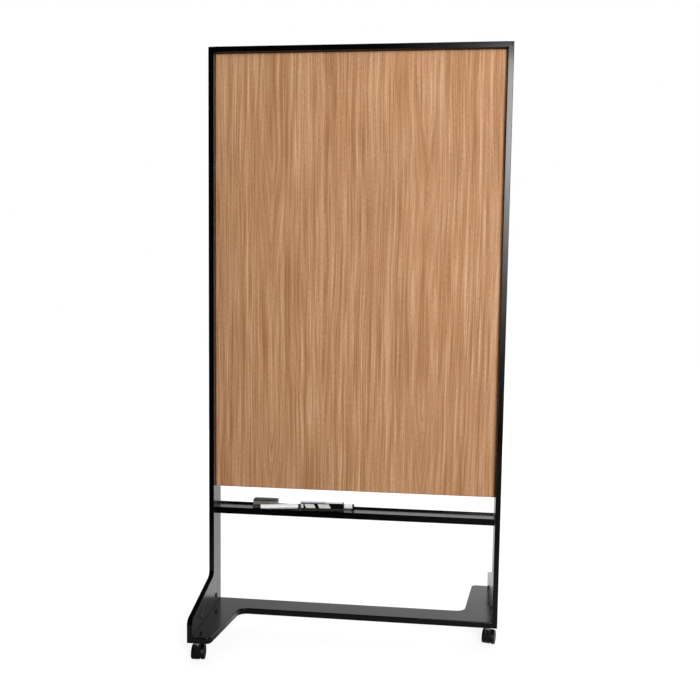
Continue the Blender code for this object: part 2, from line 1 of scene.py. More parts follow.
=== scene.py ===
# Partition board on casters: looks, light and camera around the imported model. Metres, +Z up, front faces -Y.
import math

import bmesh
import bpy
import numpy as np
from mathutils import Matrix, Vector


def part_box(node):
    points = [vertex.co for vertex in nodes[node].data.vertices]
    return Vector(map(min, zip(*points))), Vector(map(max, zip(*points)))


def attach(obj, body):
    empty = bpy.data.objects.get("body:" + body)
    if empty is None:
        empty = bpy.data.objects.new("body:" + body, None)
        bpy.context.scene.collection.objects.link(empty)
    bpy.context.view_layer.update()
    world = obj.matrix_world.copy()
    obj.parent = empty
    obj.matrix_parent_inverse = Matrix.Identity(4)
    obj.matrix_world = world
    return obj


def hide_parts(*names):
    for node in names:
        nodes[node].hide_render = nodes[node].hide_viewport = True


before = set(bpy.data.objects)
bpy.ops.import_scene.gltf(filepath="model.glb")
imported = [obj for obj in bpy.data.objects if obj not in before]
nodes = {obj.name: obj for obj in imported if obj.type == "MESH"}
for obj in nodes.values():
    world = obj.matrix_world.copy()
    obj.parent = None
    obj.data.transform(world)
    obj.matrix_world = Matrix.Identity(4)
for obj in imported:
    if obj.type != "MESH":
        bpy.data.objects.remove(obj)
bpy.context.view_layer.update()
print("frame loaded:", len(nodes), "nodes")
sharpAngle = math.radians(30)     # edges that turn by more stay sharp


# Meshes: rings of points joined by quads
def outline(corners, inset=0.0, arcPoints=9):
    # Corners (u, v, radius) run counterclockwise. Each moves inwards from both of its edges by the inset, then
    # becomes an arc that touches them and starts at corner - edge * radius * tan(half its turn).
    table = np.array(corners, float)
    here, radii = table[:, :2], table[:, 2]
    edgeIn = here - np.roll(here, 1, 0)
    edgeIn /= np.linalg.norm(edgeIn, axis=1)[:, None]
    edgeOut = np.roll(edgeIn, -1, 0)
    normalIn = edgeIn[:, ::-1] * (-1, 1)
    normalOut = edgeOut[:, ::-1] * (-1, 1)
    facing = (normalIn * normalOut).sum(1)
    moved = here + (normalIn + normalOut) * (inset / (1 + facing))[:, None]
    turn = np.arctan2(edgeIn[:, 0] * edgeOut[:, 1] - edgeIn[:, 1] * edgeOut[:, 0], (edgeIn * edgeOut).sum(1))
    points = []
    for i in range(len(table)):
        if radii[i] == 0:
            points.append(moved[i][None])
            continue
        side = 1 if turn[i] > 0 else -1
        radius = max(radii[i] - side * inset, 1e-5)
        start = moved[i] - edgeIn[i] * radius * math.tan(abs(turn[i]) / 2)
        centre = start + normalIn[i] * radius * side
        angles = np.linspace(0, turn[i], arcPoints)
        spoke = start - centre
        points.append(centre + np.c_[
            spoke[0] * np.cos(angles) - spoke[1] * np.sin(angles),
            spoke[0] * np.sin(angles) + spoke[1] * np.cos(angles)])
    return np.concatenate(points)


def spread(flat, along, axis):
    # A flat outline (u, v) set at a distance along an axis: (along, u, v) for X, (u, v, along) for Z.
    place = np.full(len(flat), along)
    return np.stack((place, *flat.T) if axis == "X" else (*flat.T, place), 1)


def skin(rings, looped=False):
    # Point n of ring r joins point n + 1 and the same two of ring r + 1. The first and last rings get a cap, or join up.
    grid = np.array(rings)
    count, around = grid.shape[:2]
    r, n = np.meshgrid(np.arange(count if looped else count - 1), np.arange(around), indexing="ij")
    up, after = (r + 1) % count, (n + 1) % around
    quads = np.stack([r * around + n, r * around + after, up * around + after, up * around + n], -1).reshape(-1, 4)
    faces = quads.tolist()
    if not looped:
        faces.append(list(range(around))[::-1])
        faces.append(list(range((count - 1) * around, count * around)))
    return grid.reshape(-1, 3), faces


def anglesOf(sides):
    return np.arange(sides) * math.tau / sides


def ringOf(radius, along, sides, axis):
    # The radius is one number, or one for each angle.
    angles = anglesOf(sides)
    return spread(np.stack([radius * np.cos(angles), radius * np.sin(angles)], 1), along, axis)


def revolve(profile, sides=48, axis="Z"):
    # Each (radius, along) of the profile becomes a circle about the axis; flat caps close both ends.
    return skin([ringOf(radius, along, sides, axis) for radius, along in profile])


def hexRadius(sides, flats):
    # A hexagon as a radius over angle: half the width across flats / cos(angle from the nearest flat's middle).
    return flats / 2 / np.cos((anglesOf(sides) + math.pi / 6) % (math.pi / 3) - math.pi / 6)


def placed(shape, turn=0.0, offset=(0, 0, 0)):
    # Points turned about Z by an angle, then moved.
    points, faces = shape
    c, s = math.cos(turn), math.sin(turn)
    return points @ np.array([[c, s, 0], [-s, c, 0], [0, 0, 1]]) + np.array(offset), faces


def turnedToX(shape, side):
    # A shape made along +Z is laid along X: outwards (+Z) becomes -X for side -1 and +X for side 1.
    points, faces = shape
    return np.stack([points[:, 2] * side, points[:, 1] * side, -points[:, 0]], 1), faces


def roundEnds(low, high, radius, steps=4):
    # Heights and insets of rings for a block whose two ends are rounded by quarter circles.
    angles = np.linspace(0, math.pi / 2, steps + 1)
    rise, shrink = radius * (1 - np.cos(angles)), radius * (1 - np.sin(angles))
    return list(zip(low + rise, shrink)) + list(zip(high - rise[::-1], shrink[::-1]))


def makeMesh(name, shapes):
    # Shapes are joined as they are, their faces are turned outwards, and edges past the angle stay sharp.
    points, faces, start = [], [], 0
    for shapePoints, shapeFaces in shapes:
        points.append(shapePoints)
        faces += [[index + start for index in face] for face in shapeFaces]
        start += len(shapePoints)
    mesh = bpy.data.meshes.new(name)
    mesh.from_pydata(np.concatenate(points).tolist(), [], faces)
    work = bmesh.new()
    work.from_mesh(mesh)
    bmesh.ops.remove_doubles(work, verts=work.verts, dist=1e-6)
    bmesh.ops.recalc_face_normals(work, faces=work.faces)
    work.to_mesh(mesh)
    work.free()
    return smoothed(mesh)


def addObject(name, data):
    made = bpy.data.objects.new(name, data)
    bpy.context.scene.collection.objects.link(made)
    return made


def evaluated(piece):
    return bpy.data.meshes.new_from_object(piece.evaluated_get(bpy.context.evaluated_depsgraph_get()))


def smoothed(mesh):
    # Large flat faces keep their own direction beside a rounded edge: each corner's normal is weighted by face area.
    mesh.shade_smooth()
    mesh.set_sharp_from_angle(angle=sharpAngle)
    holder = addObject("holder", mesh)
    weighting = holder.modifiers.new("weighting", "WEIGHTED_NORMAL")
    weighting.keep_sharp, weighting.weight, weighting.mode = True, 100, "FACE_AREA"
    result = evaluated(holder)
    bpy.data.objects.remove(holder)
    return result


def paint(piece, material):
    piece.data.materials.clear()
    piece.data.materials.append(material)


def addPiece(name, shapes, material, body, replaces=()):
    piece = addObject(name, shapes if isinstance(shapes, bpy.types.Mesh) else makeMesh(name, shapes))
    paint(piece, material)
    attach(piece, body)
    if replaces:
        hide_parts(*replaces)


def carved(name, base, steps):
    # Boolean joins and cuts in order, kept as one plain mesh.
    result = addObject(name, makeMesh(name, [base]))
    helpers = []
    for operation, shapes in steps:
        helper = addObject("helper", makeMesh("helper", shapes))
        cut = result.modifiers.new("cut", "BOOLEAN")
        cut.operation, cut.solver, cut.object = operation, "EXACT", helper
        helpers.append(helper)
    bpy.context.view_layer.update()
    mesh = evaluated(result)
    for unused in [result] + helpers:
        bpy.data.objects.remove(unused)
    return smoothed(mesh)


# Materials
def setInputs(tree, node, inputs):
    for key, value in inputs.items():
        if isinstance(value, bpy.types.NodeSocket):
            tree.links.new(value, node.inputs[key])
        else:
            node.inputs[key].default_value = value


def addNode(tree, kind, inputs={}, **settings):
    made = tree.nodes.new("ShaderNode" + kind)
    for key, value in settings.items():
        setattr(made, key, value)
    setInputs(tree, made, inputs)
    return made


def maths(tree, operation, a, b=0.0, c=0.0):
    return addNode(tree, "Math", {0: a, 1: b, 2: c}, operation=operation).outputs[0]


def blended(tree, factor, a, b):
    return addNode(tree, "Mix", {0: factor, 2: a, 3: b}, data_type="FLOAT").outputs[0]


def tinted(tree, factor, a, b):
    return addNode(tree, "Mix", {0: factor, 6: a, 7: b}, data_type="RGBA").outputs[2]


def scaled(tree, colour, factor):
    return addNode(tree, "VectorMath", {0: colour, 3: factor}, operation="SCALE").outputs[0]


def stretched(tree, vector, factors):
    return addNode(tree, "VectorMath", {0: vector, 1: factors}, operation="MULTIPLY").outputs[0]


def axesOf(tree, vector):
    return addNode(tree, "SeparateXYZ", {0: vector}).outputs


def ranged(tree, value, low, high, toLow=0.0, toHigh=1.0, **settings):
    inputs = {0: value, 1: low, 2: high, 3: toLow, 4: toHigh}
    return addNode(tree, "MapRange", inputs, **settings).outputs[0]


def smoothRange(tree, value, low, high, toLow=0.0, toHigh=1.0):
    return ranged(tree, value, low, high, toLow, toHigh, interpolation_type="SMOOTHSTEP")


def noiseAt(tree, vector, scale, detail=2.0, roughness=0.5):
    inputs = {"Vector": vector, "Scale": scale, "Detail": detail, "Roughness": roughness}
    return addNode(tree, "TexNoise", inputs).outputs["Fac"]


def newGroup(name, inputs, outputs):
    group = bpy.data.node_groups.new(name, "ShaderNodeTree")
    for label, kind, value in inputs:
        socket = group.interface.new_socket(label, in_out="INPUT", socket_type="NodeSocket" + kind)
        if value is not None:
            socket.default_value = value
    for label, kind in outputs:
        group.interface.new_socket(label, in_out="OUTPUT", socket_type="NodeSocket" + kind)
    return group, group.nodes.new("NodeGroupInput").outputs, group.nodes.new("NodeGroupOutput").inputs


def makeDustGroup():
    # Dust that settles on faces turned up, in patches, as a mask.
    group, given, out = newGroup("settledDust", [("Vector", "Vector", None), ("Amount", "Float", 0.3)],
                                 [("Mask", "Float")])
    up = axesOf(group, addNode(group, "NewGeometry").outputs["Normal"])["Z"]
    patches = noiseAt(group, given["Vector"], 14, 5, 0.62)
    specks = noiseAt(group, given["Vector"], 420, 2, 0.6)
    cover = maths(group, "MULTIPLY", ranged(group, up, 0.35, 1.0), ranged(group, patches, 0.35, 0.75, 0.25, 1.0))
    speckled = maths(group, "MULTIPLY_ADD", ranged(group, specks, 0.58, 0.75), 0.6, 0.4)
    group.links.new(maths(group, "MULTIPLY", maths(group, "MULTIPLY", cover, speckled), given["Amount"]), out["Mask"])
    return group


def makeScuffGroup():
    # Fine rubbed streaks low on the frame, where feet and floors reach it, as a mask.
    group, given, out = newGroup("lowScuffs", [("Vector", "Vector", None), ("Top", "Float", 0.2)], [("Mask", "Float")])
    low = ranged(group, axesOf(group, given["Vector"])["Z"], 0.06, given["Top"], 1.0, 0.0)
    streaks = ranged(group, noiseAt(group, stretched(group, given["Vector"], (60, 18, 160)), 1.0, 4, 0.7), 0.62, 0.7)
    where = ranged(group, noiseAt(group, given["Vector"], 9, 2), 0.5, 0.65)
    group.links.new(maths(group, "MULTIPLY", maths(group, "MULTIPLY", streaks, where), low), out["Mask"])
    return group


def makePeelGroup():
    # The soft dimples of a sprayed or moulded skin, over a slower unevenness, as a height.
    group, given, out = newGroup("surfacePeel", [("Vector", "Vector", None), ("Scale", "Float", 600.0)],
                                 [("Height", "Float"), ("Unevenness", "Float")])
    group.links.new(noiseAt(group, given["Vector"], given["Scale"], 2, 0.5), out["Height"])
    group.links.new(noiseAt(group, given["Vector"], 7.0, 3, 0.55), out["Unevenness"])
    return group


dustGroup, scuffGroup, peelGroup = makeDustGroup(), makeScuffGroup(), makePeelGroup()


def clearedTree(owner):
    owner.use_nodes = True
    owner.node_tree.nodes.clear()
    return owner.node_tree


def newMaterial(name):
    material = bpy.data.materials.new(name)
    tree = clearedTree(material)
    shader = addNode(tree, "BsdfPrincipled")
    addNode(tree, "OutputMaterial", {"Surface": shader.outputs[0]})
    return material, tree, shader, addNode(tree, "TexCoord").outputs["Object"]


def addGroup(tree, group, **inputs):
    return addNode(tree, "Group", inputs, node_tree=group).outputs


def setBump(tree, shader, height, distance, strength=1.0):
    bump = addNode(tree, "Bump", {"Height": height, "Distance": distance, "Strength": strength})
    tree.links.new(bump.outputs[0], shader.inputs["Normal"])


def mouldedMaterial(name, look):
    # Paint and plastic: a colour with patches of dust and low scuffs, an uneven sheen and a fine peel.
    material, tree, shader, where = newMaterial(name)
    peel = addGroup(tree, peelGroup, Vector=where, Scale=look["peelScale"])
    dust = addGroup(tree, dustGroup, Vector=where, Amount=look["dust"])["Mask"]
    scuff = maths(tree, "MULTIPLY", addGroup(tree, scuffGroup, Vector=where)["Mask"], look["scuff"])
    shade = ranged(tree, peel["Unevenness"], 0.3, 0.7, 1 - look["unevenness"], 1 + look["unevenness"])
    dusty = tinted(tree, dust, scaled(tree, look["colour"], shade), (*look["dustColour"], 1))
    colour = tinted(tree, scuff, dusty, (*look["scuffColour"], 1))
    sheen = ranged(tree, peel["Unevenness"], 0.25, 0.75, look["roughness"] - 0.03, look["roughness"] + 0.03)
    worn = maths(tree, "MULTIPLY_ADD", maths(tree, "ADD", dust, scuff), 0.25, sheen)
    if "mattBelow" in look:
        facing = axesOf(tree, addNode(tree, "NewGeometry").outputs["Normal"])
        sideways = maths(tree, "ABSOLUTE", facing["X"])
        for rougher in (smoothRange(tree, facing["Z"], -0.9, -0.5, look["mattBelow"], 0.0),
                        smoothRange(tree, facing["Z"], 0.5, 0.9, 0.0, look["mattAbove"]),
                        smoothRange(tree, sideways, 0.6, 0.95, 0.0, look["mattSides"])):
            worn = maths(tree, "ADD", worn, rougher)
    setInputs(tree, shader, {"Base Color": colour, "Roughness": worn, "Specular IOR Level": look["specular"]})
    setBump(tree, shader, peel["Height"], look["peelDepth"])
    return material


framePaint = {"colour": (0.001, 0.001, 0.0011), "roughness": 0.13, "specular": 0.5, "peelScale": 700.0,
              "peelDepth": 0.00001, "unevenness": 0.12, "mattBelow": 0.6, "mattAbove": 0.08, "mattSides": 0.15,
              "dust": 0.02, "dustColour": (0.09, 0.085, 0.08), "scuff": 0.25, "scuffColour": (0.05, 0.05, 0.05)}
casterNylon = {"colour": (0.0015, 0.0015, 0.0017), "roughness": 0.36, "specular": 0.3, "peelScale": 1500.0,
               "peelDepth": 0.00002, "unevenness": 0.15, "dust": 0.08, "dustColour": (0.04, 0.038, 0.035),
               "scuff": 0.15, "scuffColour": (0.04, 0.04, 0.04)}
wheelPlastic = dict(casterNylon, colour=(0.0018, 0.0018, 0.0018), roughness=0.42, peelScale=1100.0, peelDepth=0.00003,
                    unevenness=0.2, dust=0.12, scuff=0.25, scuffColour=(0.06, 0.058, 0.055))
boltSteel = dict(casterNylon, colour=(0.022, 0.022, 0.024), roughness=0.38, specular=0.6, peelScale=2500.0,
                 peelDepth=0.00001, unevenness=0.2, dust=0.1, dustColour=(0.08, 0.08, 0.08), scuff=0.2,
                 scuffColour=(0.1, 0.1, 0.1))
eraserShell = dict(boltSteel, colour=(0.02, 0.02, 0.0225), roughness=0.45, specular=0.4, peelScale=1800.0,
                   peelDepth=0.00003, unevenness=0.15, dust=0.4, dustColour=(0.12, 0.12, 0.12), scuff=0.0)
markerBlack = dict(eraserShell, colour=(0.006, 0.006, 0.007), roughness=0.25, specular=0.5, peelScale=900.0,
                   peelDepth=0.000006, unevenness=0.1, dust=0.1, dustColour=(0.1, 0.1, 0.1))
markerWhite = dict(markerBlack, colour=(0.97, 0.97, 0.975), roughness=0.28, peelScale=500.0, peelDepth=0.00001,
                   unevenness=0.015, dustColour=(0.5, 0.49, 0.47))
labelPaper = dict(markerWhite, colour=(0.74, 0.75, 0.70), roughness=0.35, specular=0.4, peelScale=900.0,
                  peelDepth=0.000008, unevenness=0.03)
eraserShellBlack = dict(eraserShell, colour=(0.0015, 0.0015, 0.0017), roughness=0.22, specular=0.3, dust=0.03)

blackPaint = mouldedMaterial("blackPaint", framePaint)
nylon = mouldedMaterial("casterNylon", casterNylon)
wheelBlack = mouldedMaterial("wheelPlastic", wheelPlastic)
boltBlack = mouldedMaterial("boltSteel", boltSteel)
eraserGrey = mouldedMaterial("eraserShellGrey", eraserShell)
eraserBlack = mouldedMaterial("eraserShellBlack", eraserShellBlack)
capBlack = mouldedMaterial("markerBlack", markerBlack)
barrelWhite = mouldedMaterial("markerWhite", markerWhite)
labelPale = mouldedMaterial("labelPale", labelPaper)
labelLilac = mouldedMaterial("labelLilac", dict(labelPaper, colour=(0.47, 0.46, 0.56)))
labelWhite = mouldedMaterial("labelWhite", dict(labelPaper, colour=(0.95, 0.95, 0.95)))


woodLook = {
    "dark": (0.355, 0.158, 0.0635), "middle": (0.475, 0.243, 0.1155), "light": (0.66, 0.40, 0.230),
    "wander": 0.022,           # how far the grain lines drift sideways
    # Bands, lines, threads and fibres: strength, then scale across, scale along, detail and shift.
    "streaks": ((0.06, (16, 0.7, 0.0, 3.0)), (0.46, (82, 1.5, 0.3, 11.0)), (0.68, (250, 5.0, 1.2, 23.0)),
                (0.52, (1100, 90.0, 2.0, 37.0))),
    "archCentres": (-0.262, 0.205), "archWidth": 0.062, "archSlope": 0.085, "archNose": 0.006, "archStrength": 0.6,
    "archRepeat": 0.83, "archMiddle": 1.33, "archShift": 0.06,
    "roughness": 0.5, "specular": 0.15, "poreDepth": 0.00002,
}


def makeGrainGroup(look):
    # Lines along the grain: slow to fine noises across the board and, much stretched, over its height.
    group, given, out = newGroup("grainLines", [("Across", "Float", 0.0), ("Along", "Float", 0.0)],
                                 [("Shade", "Float"), ("Pores", "Float")])

    def streaks(across, along, detail, shift):
        place = {"X": maths(group, "MULTIPLY", given["Across"], across), "Y": shift,
                 "Z": maths(group, "MULTIPLY", given["Along"], along)}
        return noiseAt(group, addNode(group, "CombineXYZ", place).outputs[0], 1.0, detail, 0.55)

    total = 0.0
    for weight, numbers in look["streaks"]:
        total = maths(group, "MULTIPLY_ADD", maths(group, "SUBTRACT", streaks(*numbers), 0.5), weight, total)
    group.links.new(maths(group, "ADD", total, 0.5), out["Shade"])
    group.links.new(ranged(group, streaks(1500, 70.0, 0.0, 51.0), 0.66, 0.78), out["Pores"])
    return group


def woodMaterial(look):
    # Straight grain that wanders a little, crossed by two columns of nested arches. An arch is a line of equal
    # sqrt(distance from its middle line squared + nose squared) - slope * height, so that it closes at its foot.
    material, tree, shader, where = newMaterial("woodGrain")
    grain = makeGrainGroup(look)
    axes = axesOf(tree, where)
    drift = maths(tree, "SUBTRACT", noiseAt(tree, stretched(tree, where, (5.0, 0.0, 1.15)), 1.0, 1.5, 0.5), 0.5)
    ripple = maths(tree, "SUBTRACT", noiseAt(tree, stretched(tree, where, (16.0, 0.0, 5.0)), 1.0, 1.0, 0.5), 0.5)
    across = maths(tree, "MULTIPLY_ADD", drift, look["wander"] * 2, axes["X"])
    across = maths(tree, "MULTIPLY_ADD", ripple, look["wander"] * 0.2, across)
    straight = addGroup(tree, grain, Across=across, Along=axes["Z"])
    shade, pores = straight["Shade"], straight["Pores"]
    for number, centre in enumerate(look["archCentres"]):
        side = maths(tree, "SUBTRACT", across, centre)
        height = maths(tree, "SUBTRACT", axes["Z"], look["archMiddle"] + look["archShift"] * number)
        level = maths(tree, "WRAP", height, look["archRepeat"] / 2, -look["archRepeat"] / 2)
        reach = maths(tree, "SQRT", maths(tree, "MULTIPLY_ADD", side, side, look["archNose"] ** 2))
        nested = maths(tree, "MULTIPLY_ADD", level, -look["archSlope"], reach)
        arches = addGroup(tree, grain, Across=maths(tree, "ADD", nested, 3.0 + number), Along=axes["Z"])["Shade"]
        offCentre = maths(tree, "DIVIDE", maths(tree, "ABSOLUTE", side), look["archWidth"])
        offLevel = maths(tree, "DIVIDE", maths(tree, "ABSOLUTE", level), look["archRepeat"] * 0.36)
        edge = maths(tree, "MAXIMUM", offCentre, offLevel)
        shade = blended(tree, smoothRange(tree, edge, 0.3, 1.0, look["archStrength"], 0.0), shade, arches)
    ramp = addNode(tree, "ValToRGB", {0: shade})
    stops = ramp.color_ramp.elements
    stops[0].position, stops[0].color = 0.32, (*look["dark"], 1)
    stops[1].position, stops[1].color = 0.72, (*look["light"], 1)
    middle = stops.new(0.5)
    middle.color = (*look["middle"], 1)
    # Slow tone changes over hand-wide areas, and pores a shade darker.
    tone = ranged(tree, noiseAt(tree, where, 5.0, 3, 0.5), 0.3, 0.7, 0.965, 1.035)
    toned = scaled(tree, ramp.outputs[0], tone)
    porous = tinted(tree, maths(tree, "MULTIPLY", pores, 0.35), toned, (*look["dark"], 1))
    sheen = ranged(tree, shade, 0.3, 0.7, look["roughness"] + 0.06, look["roughness"] - 0.04)
    setInputs(tree, shader, {"Base Color": porous, "Roughness": sheen, "Specular IOR Level": look["specular"]})
    setBump(tree, shader, maths(tree, "MULTIPLY_ADD", pores, -1.0, shade), look["poreDepth"])
    return material


def whiteSteelMaterial():
    # Glossy white enamel with a faint haze left by wiping.
    material, tree, shader, where = newMaterial("whiteSteel")
    haze = ranged(tree, noiseAt(tree, stretched(tree, where, (2.2, 0.0, 9.0)), 1.0, 5, 0.6), 0.45, 0.75)
    colour = tinted(tree, haze, (0.80, 0.81, 0.815, 1), (0.755, 0.765, 0.775, 1))
    setInputs(tree, shader, {"Base Color": colour, "Roughness": ranged(tree, haze, 0.0, 1.0, 0.13, 0.24)})
    setBump(tree, shader, noiseAt(tree, where, 260.0, 1, 0.5), 0.000008)
    return material


def zincMaterial():
    # Bright zinc plating with a slightly cloudy, faintly yellow passivation.
    material, tree, shader, where = newMaterial("zincPlating")
    cloud = noiseAt(tree, where, 160.0, 4, 0.6)
    colour = tinted(tree, ranged(tree, cloud, 0.35, 0.65), (0.62, 0.63, 0.64, 1), (0.70, 0.69, 0.64, 1))
    sheen = ranged(tree, cloud, 0.3, 0.7, 0.24, 0.4)
    setInputs(tree, shader, {"Base Color": colour, "Roughness": sheen, "Metallic": 1.0})
    setBump(tree, shader, noiseAt(tree, where, 1800.0, 2, 0.5), 0.00001)
    return material


def feltMaterial(name, dark, light):
    # Pressed wool felt: matted fibres in two directions, in uneven tones.
    material, tree, shader, where = newMaterial(name)
    lengthways, upright = (noiseAt(tree, stretched(tree, where, factors), 1.0, 3, 0.6)
                           for factors in ((300, 1500, 1700), (1600, 1500, 350)))
    fibres = maths(tree, "MAXIMUM", lengthways, upright)
    patches = noiseAt(tree, where, 90.0, 3, 0.6)
    tone = maths(tree, "MULTIPLY_ADD", patches, 0.5, maths(tree, "MULTIPLY", fibres, 0.6))
    colour = tinted(tree, ranged(tree, tone, 0.4, 0.75), (*dark, 1), (*light, 1))
    setInputs(tree, shader, {"Base Color": colour, "Roughness": 0.95, "Sheen Weight": 0.25})
    setBump(tree, shader, fibres, 0.0004)
    return material


def coreMaterial():
    # Raw fibreboard: fine flecks in two browns.
    material, tree, shader, where = newMaterial("fibreboard")
    flecks = noiseAt(tree, where, 900.0, 4, 0.7)
    colour = tinted(tree, ranged(tree, flecks, 0.35, 0.65), (0.36, 0.25, 0.15, 1), (0.52, 0.4, 0.27, 1))
    setInputs(tree, shader, {"Base Color": colour, "Roughness": 0.85})
    setBump(tree, shader, flecks, 0.0001)
    return material


woodGrain, whiteSteel, zinc, fibreboard = woodMaterial(woodLook), whiteSteelMaterial(), zincMaterial(), coreMaterial()
feltTan = feltMaterial("tanFelt", (0.115, 0.105, 0.085), (0.26, 0.245, 0.205))
feltBlack = feltMaterial("blackFelt", (0.006, 0.006, 0.006), (0.03, 0.03, 0.03))
print("materials made:", len(bpy.data.materials))


# Side frames
sideFrame = {"halfWidth": 0.450, "thickness": 0.016, "halfDepth": 0.040, "reach": 0.230, "bottom": 0.060, "top": 1.800,
             "slopeTop": 0.180, "slopeBottom": 0.128, "footBend": 0.020, "topCorner": 0.004, "bend": 0.0022,
             "sheet": 0.0016, "seam": -0.0005, "seamGap": 0.0006, "gap": 0.0003, "edge": 0.0003, "recess": 0.0035}


def sideCorners(f):
    deep, low, top, corner, bend = f["halfDepth"], f["bottom"], f["top"], f["topCorner"], f["footBend"]
    toe = -deep - f["reach"]
    return [(toe, low, 0), (deep, low, 0), (deep, top, corner), (-deep, top, corner),
            (-deep, f["slopeTop"], bend), (toe, f["slopeBottom"], bend)]


def sideRings(f):
    # From a shallow recess behind the cover, over the flange's edge, round the bend to the outer sheet.
    corners, outer, edge, bend = sideCorners(f), -f["halfWidth"], f["edge"], f["bend"]
    inner = outer + f["thickness"]
    mouth = outline(corners, f["sheet"])
    mouth[:, 0] = np.minimum(mouth[:, 0], f["seam"])
    rings = [spread(mouth, inner - f["recess"], "X"), spread(mouth, inner, "X"),
             spread(outline(corners, edge), inner, "X"), spread(outline(corners), inner - edge, "X")]
    for angle in np.linspace(0, math.pi / 2, 7):
        flat = outline(corners, bend * (1 - math.cos(angle)))
        rings.append(spread(flat, outer + bend * (1 - math.sin(angle)), "X"))
    return rings


def coverRings(f):
    corners = sideCorners(f)
    inner = -(f["halfWidth"] - f["thickness"])
    rings = []
    for along, inset in ((inner - f["recess"] + f["gap"], 0), (inner - f["edge"], 0), (inner, f["edge"])):
        flat = outline(corners, f["sheet"] + f["gap"] + inset)
        flat[:, 0] = np.minimum(flat[:, 0], f["seam"] - f["seamGap"] - inset)
        rings.append(spread(flat, along, "X"))
    return rings


def countersinkAt(box, f):
    # The hole of a flush bolt: a cone a gap wider than its head, in the left frame's outer sheet.
    low, high = box
    head = (high.z - low.z) / 2 + f["gap"]
    shape = revolve([(head + 0.001, 0.001), (head, 0.0), (head - 0.0023, -0.0023), (head - 0.0023, -0.006)])
    points, faces = turnedToX(shape, -1)
    return points + np.array([-f["halfWidth"], (low.y + high.y) / 2, (low.z + high.z) / 2]), faces


flushBolts = [name[5:] for name in sorted(nodes) if name.startswith("left_") and "_bolt" in name and "button" not in name]
sinks = [countersinkAt(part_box("left_" + name), sideFrame) for name in flushBolts]
shellMesh = carved("sideShell", skin(sideRings(sideFrame)), [("DIFFERENCE", sinks)])
rightShell = shellMesh.copy()
rightShell.transform(Matrix.Rotation(math.pi, 4, "Z"))
cover = skin(coverRings(sideFrame))
addPiece("leftSideShell", shellMesh, blackPaint, "frame", ["left_side_shell"])
addPiece("rightSideShell", rightShell, blackPaint, "frame", ["right_side_shell"])
addPiece("leftInnerCover", [cover], blackPaint, "frame", ["left_inner_cover"])
addPiece("rightInnerCover", [placed(cover, math.pi)], blackPaint, "frame", ["right_inner_cover"])
print("side frames made")


# Bolts
flushBolt = {"socketShare": 0.52, "socketDepth": 0.0018, "headToShank": 1.9, "edge": 0.00015, "sides": 48, "sunk": 0.0001}
buttonBolt = {"radius": 0.007, "height": 0.0038, "rim": 0.0008, "socketFlats": 0.005, "socketDepth": 0.002, "sides": 60}


def flushBoltShape(radius, length, b):
    # Rings from the bottom of the hexagonal socket, over the flat head and down its cone to the tip.
    socket = hexRadius(b["sides"], radius * b["socketShare"] * 2)
    shank = radius / b["headToShank"]
    depth, edge = b["socketDepth"], b["edge"]
    rings = [(socket * 0.9, -depth), (socket, -depth * 0.9), (socket, -edge), (socket + edge, 0.0),
             (radius - edge, 0.0), (radius, -edge), (shank, shank - radius), (shank, -length)]
    return revolve([(size, z - b["sunk"]) for size, z in rings], b["sides"])


def buttonBoltShape(b):
    # A domed head: height over radius follows a quarter ellipse, from the socket's mouth down to the rim.
    socket, radius, height, rim = hexRadius(b["sides"], b["socketFlats"]), b["radius"], b["height"], b["rim"]
    mouth = b["socketFlats"] * 0.68
    rings = [(socket * 0.92, height - b["socketDepth"]), (socket, height - b["socketDepth"] * 0.9),
             (socket, height - 0.0002), (mouth, height)]
    rings += [(mouth + (radius - mouth) * math.sin(angle), rim + (height - rim) * math.cos(angle))
              for angle in np.linspace(0.12, 1, 8) * math.pi / 2]
    return revolve(rings + [(radius, 0.0)], b["sides"])


for side, name in ((-1, "left_"), (1, "right_")):
    for bolt in flushBolts:
        low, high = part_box(name + bolt)
        shape = turnedToX(flushBoltShape((high.z - low.z) / 2, high.x - low.x, flushBolt), side)
        spot = (side * sideFrame["halfWidth"], (low.y + high.y) / 2, (low.z + high.z) / 2)
        addPiece(name + bolt + "_fine", [placed(shape, 0, spot)], boltBlack, "frame", [name + bolt])
    for number in ("1", "2"):
        node = name + "button_bolt_" + number
        low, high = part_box(node)
        inner = side * (sideFrame["halfWidth"] - sideFrame["thickness"]) - side * sideFrame["gap"]
        shape = turnedToX(buttonBoltShape(buttonBolt), -side)
        spot = (inner, (low.y + high.y) / 2, (low.z + high.z) / 2)
        addPiece(node + "_fine", [placed(shape, 0, spot)], boltBlack, "frame", [node])
print("bolts made")


# Top rail, base plate and pen tray
topRail = {"end": 0.4337, "halfDepth": 0.040, "bottom": 1.784, "top": 1.800, "sheet": 0.0016, "slot": 0.0133,
           "bend": 0.0022, "lip": 0.0004}
basePlate = {"end": 0.4337, "halfDepth": 0.040, "reach": 0.230, "tip": 0.382, "root": 0.351, "tipRadius": 0.016,
             "rootRadius": 0.030, "bottom": 0.060, "top": 0.078, "sheet": 0.002, "bend": 0.0025, "endShare": 0.25,
             "edge": 0.0003, "cut": 0.0006, "nutRadius": 0.0074, "nutBore": 0.0042,
             "stems": ((-0.423, -0.255), (0.423, -0.025), (-0.423, 0.025), (0.423, 0.255))}
penTray = {"end": 0.4337, "halfDepth": 0.040, "bottom": 0.380, "front": 0.400, "rear": 0.3975, "floor": 0.392,
           "sheet": 0.0012, "fold": 0.0011, "lip": 0.0004}


